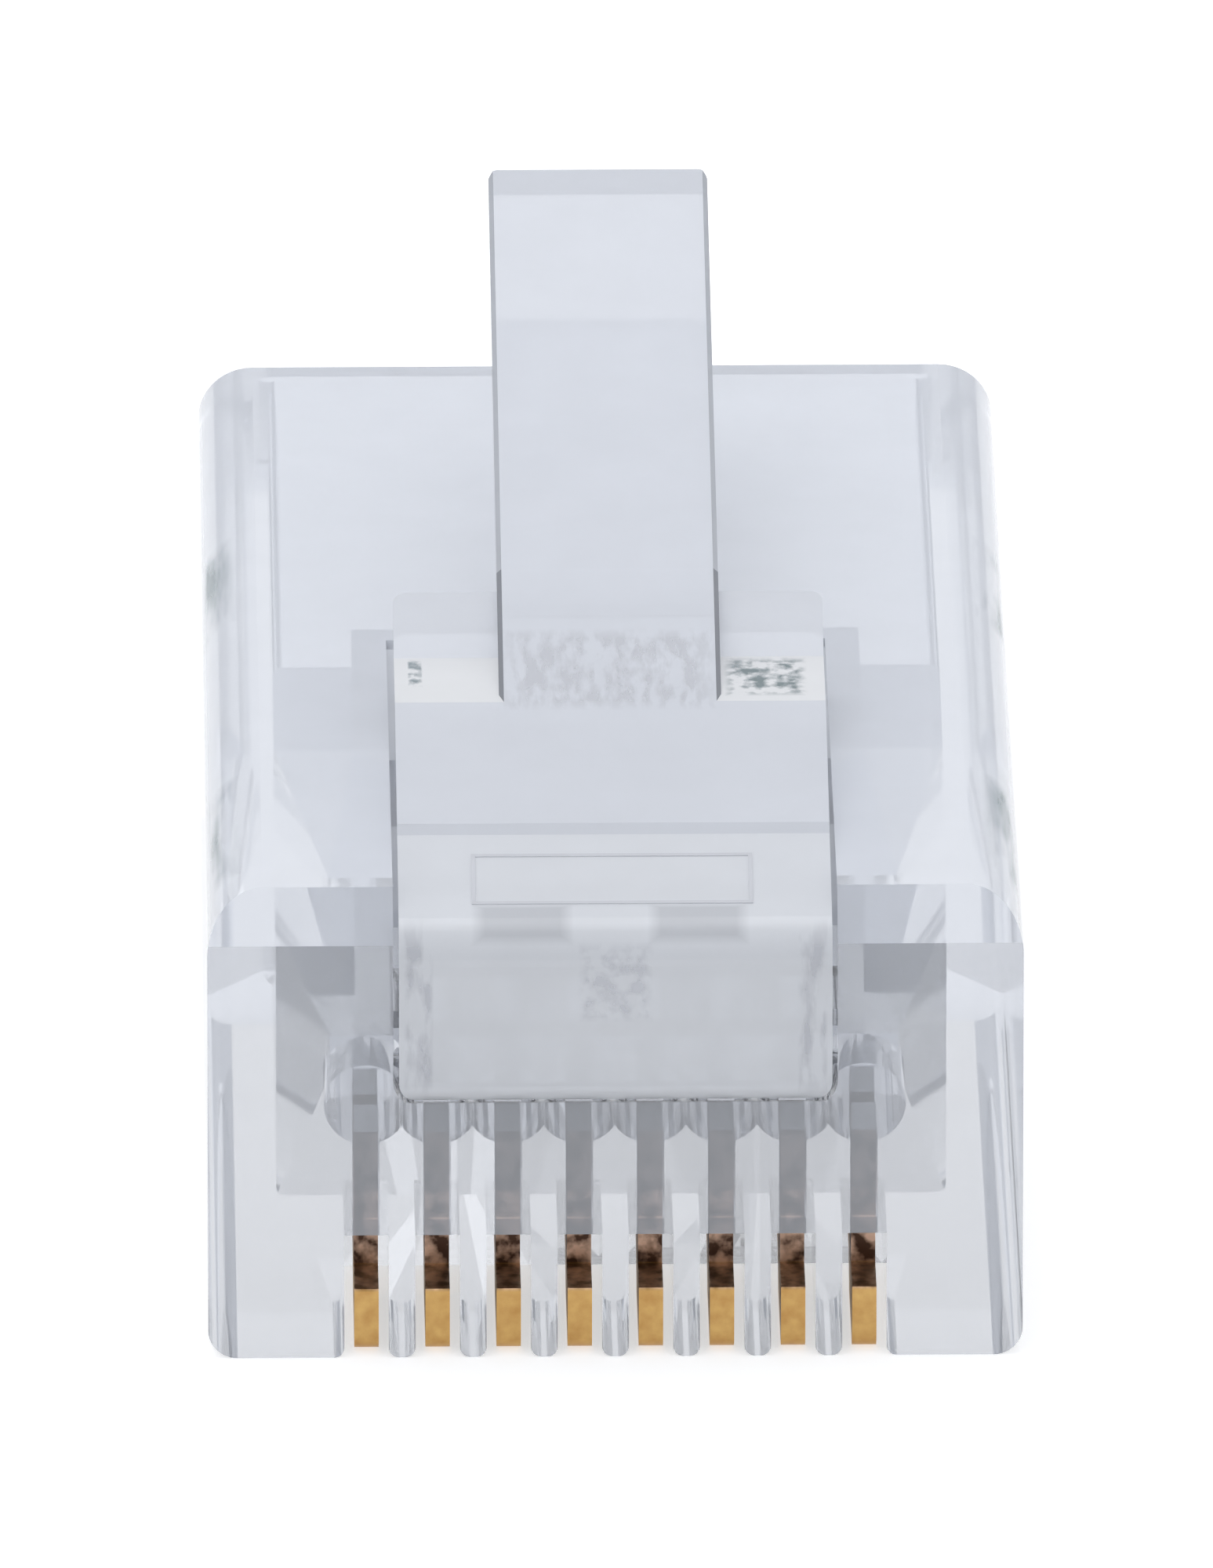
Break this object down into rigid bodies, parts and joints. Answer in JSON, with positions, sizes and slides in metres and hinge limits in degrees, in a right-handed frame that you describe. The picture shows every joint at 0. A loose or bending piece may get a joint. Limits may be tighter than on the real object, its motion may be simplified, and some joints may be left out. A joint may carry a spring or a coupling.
{
  "type": "rj45 modular plug",
  "caption": "Uncrimped clear modular plug with a row of gold-crowned blade contacts at its nose, a sprung locking latch on top and a swinging jacket clamp in the open cable hollow.",
  "frame": {"origin": "middle of the plug's footprint, on the plane of its contact side, which it rests on", "axes": "+Y from the nose towards the cable end, +Z from the contact side towards the latch, +X across the plug"},
  "size_m": [0.0116, 0.0218, 0.0112],
  "materials": {
    "clear_housing": "clear polycarbonate, polished mould finish",
    "clear_latch": "clear polycarbonate, polished mould finish",
    "clear_clamp": "clear polycarbonate, polished mould finish",
    "gold_plated_contact": "phosphor bronze, nickel underplate, gold flash on the crown"
  },
  "bodies": {
    "housing": {"housing": "clear_housing"},
    "latch": {"locking_latch": "clear_latch"},
    "clamp": {"jacket_clamp": "clear_clamp"},
    "contact_1": {"contact_1": "gold_plated_contact"},
    "contact_2": {"contact_2": "gold_plated_contact"},
    "contact_3": {"contact_3": "gold_plated_contact"},
    "contact_4": {"contact_4": "gold_plated_contact"},
    "contact_5": {"contact_5": "gold_plated_contact"},
    "contact_6": {"contact_6": "gold_plated_contact"},
    "contact_7": {"contact_7": "gold_plated_contact"},
    "contact_8": {"contact_8": "gold_plated_contact"}
  },
  "joints": [
    {"name": "latch_press", "type": "hinge", "parent": "housing", "child": "latch", "pos_m": [0, -0.01043, 0.00438], "axis": [-1, 0, 0], "range_deg": [0, 6], "stiffness_Nm_per_rad": 0.3},
    {"name": "clamp_swing", "type": "hinge", "parent": "housing", "child": "clamp", "pos_m": [0, 0.00713, 0.00035], "axis": [-1, 0, 0], "range_deg": [0, 35]},
    {"name": "contact_1_crimp", "type": "slide", "parent": "housing", "child": "contact_1", "axis": [0, 0, 1], "range_m": [0, 0.00065]},
    {"name": "contact_2_crimp", "type": "slide", "parent": "housing", "child": "contact_2", "axis": [0, 0, 1], "range_m": [0, 0.00065]},
    {"name": "contact_3_crimp", "type": "slide", "parent": "housing", "child": "contact_3", "axis": [0, 0, 1], "range_m": [0, 0.00065]},
    {"name": "contact_4_crimp", "type": "slide", "parent": "housing", "child": "contact_4", "axis": [0, 0, 1], "range_m": [0, 0.00065]},
    {"name": "contact_5_crimp", "type": "slide", "parent": "housing", "child": "contact_5", "axis": [0, 0, 1], "range_m": [0, 0.00065]},
    {"name": "contact_6_crimp", "type": "slide", "parent": "housing", "child": "contact_6", "axis": [0, 0, 1], "range_m": [0, 0.00065]},
    {"name": "contact_7_crimp", "type": "slide", "parent": "housing", "child": "contact_7", "axis": [0, 0, 1], "range_m": [0, 0.00065]},
    {"name": "contact_8_crimp", "type": "slide", "parent": "housing", "child": "contact_8", "axis": [0, 0, 1], "range_m": [0, 0.00065]}
  ],
  "couplings": [
    {"joint": "contact_2_crimp", "follows": "contact_1_crimp", "ratio": 1},
    {"joint": "contact_3_crimp", "follows": "contact_1_crimp", "ratio": 1},
    {"joint": "contact_4_crimp", "follows": "contact_1_crimp", "ratio": 1},
    {"joint": "contact_5_crimp", "follows": "contact_1_crimp", "ratio": 1},
    {"joint": "contact_6_crimp", "follows": "contact_1_crimp", "ratio": 1},
    {"joint": "contact_7_crimp", "follows": "contact_1_crimp", "ratio": 1},
    {"joint": "contact_8_crimp", "follows": "contact_1_crimp", "ratio": 1}
  ]
}
